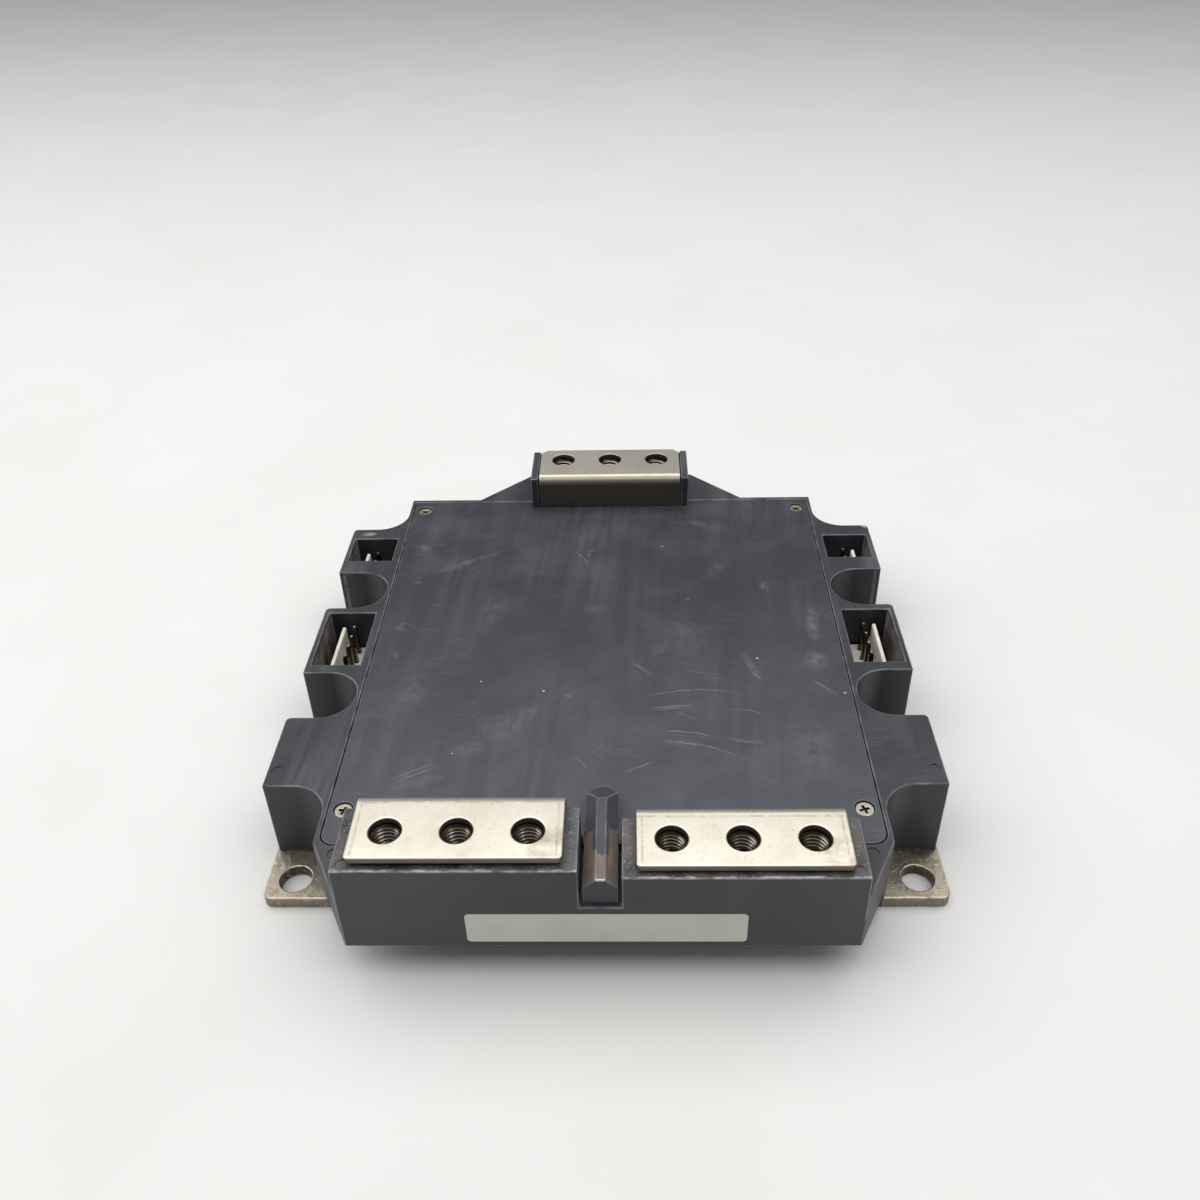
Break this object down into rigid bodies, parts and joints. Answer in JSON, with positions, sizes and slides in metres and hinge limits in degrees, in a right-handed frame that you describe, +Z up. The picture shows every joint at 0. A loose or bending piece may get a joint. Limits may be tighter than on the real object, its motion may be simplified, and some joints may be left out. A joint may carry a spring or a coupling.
{
  "type": "dual igbt power module",
  "caption": "Flat power module with a plated base plate, scalloped moulded case, bent busbar terminals over captive nuts and side sockets for signal plugs.",
  "frame": {"origin": "centre of the base plate's underside, the face that meets the heatsink", "axes": "+Z up out of the heatsink face, -Y towards the side with two terminals, +Y towards the side with one, +X to the right seen from the two-terminal side"},
  "size_m": [0.15, 0.1635, 0.035],
  "materials": {
    "nickel_plate": "satin, nickel-plated copper",
    "terminal_nickel": "satin, nickel-plated copper",
    "case_plastic": "matt, dark slate moulded plastic",
    "lid_plastic": "matt, dark slate moulded plastic",
    "screw_zinc": "yellow-passivated zinc",
    "nut_steel": "plated steel",
    "header_nylon": "off-white nylon",
    "pin_tin": "tinned",
    "label_film": "bare off-white film",
    "seal_silicone": "cured silicone",
    "solder": "dull",
    "bare_copper": "satin bare copper",
    "ceramic_white": "matt fired ceramic",
    "chip_silicon": "polished silicon",
    "wire_aluminium": "bright drawn wire",
    "gel_silicone": "clear soft gel"
  },
  "bodies": {
    "root": {"base_plate": "nickel_plate", "case_seal": "seal_silicone", "case_frame": "case_plastic", "lid": "lid_plastic", "lid_screws": "screw_zinc", "terminal_front_left": "terminal_nickel", "terminal_front_right": "terminal_nickel", "terminal_rear": "terminal_nickel", "nuts_front_left": "nut_steel", "nuts_front_right": "nut_steel", "nuts_rear": "nut_steel", "header_mid_left": "header_nylon", "header_mid_right": "header_nylon", "header_rear_left": "header_nylon", "header_rear_right": "header_nylon", "pins_mid_left": "pin_tin", "pins_mid_right": "pin_tin", "pins_rear_left": "pin_tin", "pins_rear_right": "pin_tin", "label": "label_film", "substrate_solder": "solder", "substrate_copper_bottom": "bare_copper", "substrate_ceramic": "ceramic_white", "copper_collector": "bare_copper", "copper_emitter": "bare_copper", "copper_gate": "bare_copper", "igbt_chips": "chip_silicon", "diode_chips": "chip_silicon", "bond_wires": "wire_aluminium", "gate_wires": "wire_aluminium", "gel": "gel_silicone"}
  },
  "joints": []
}
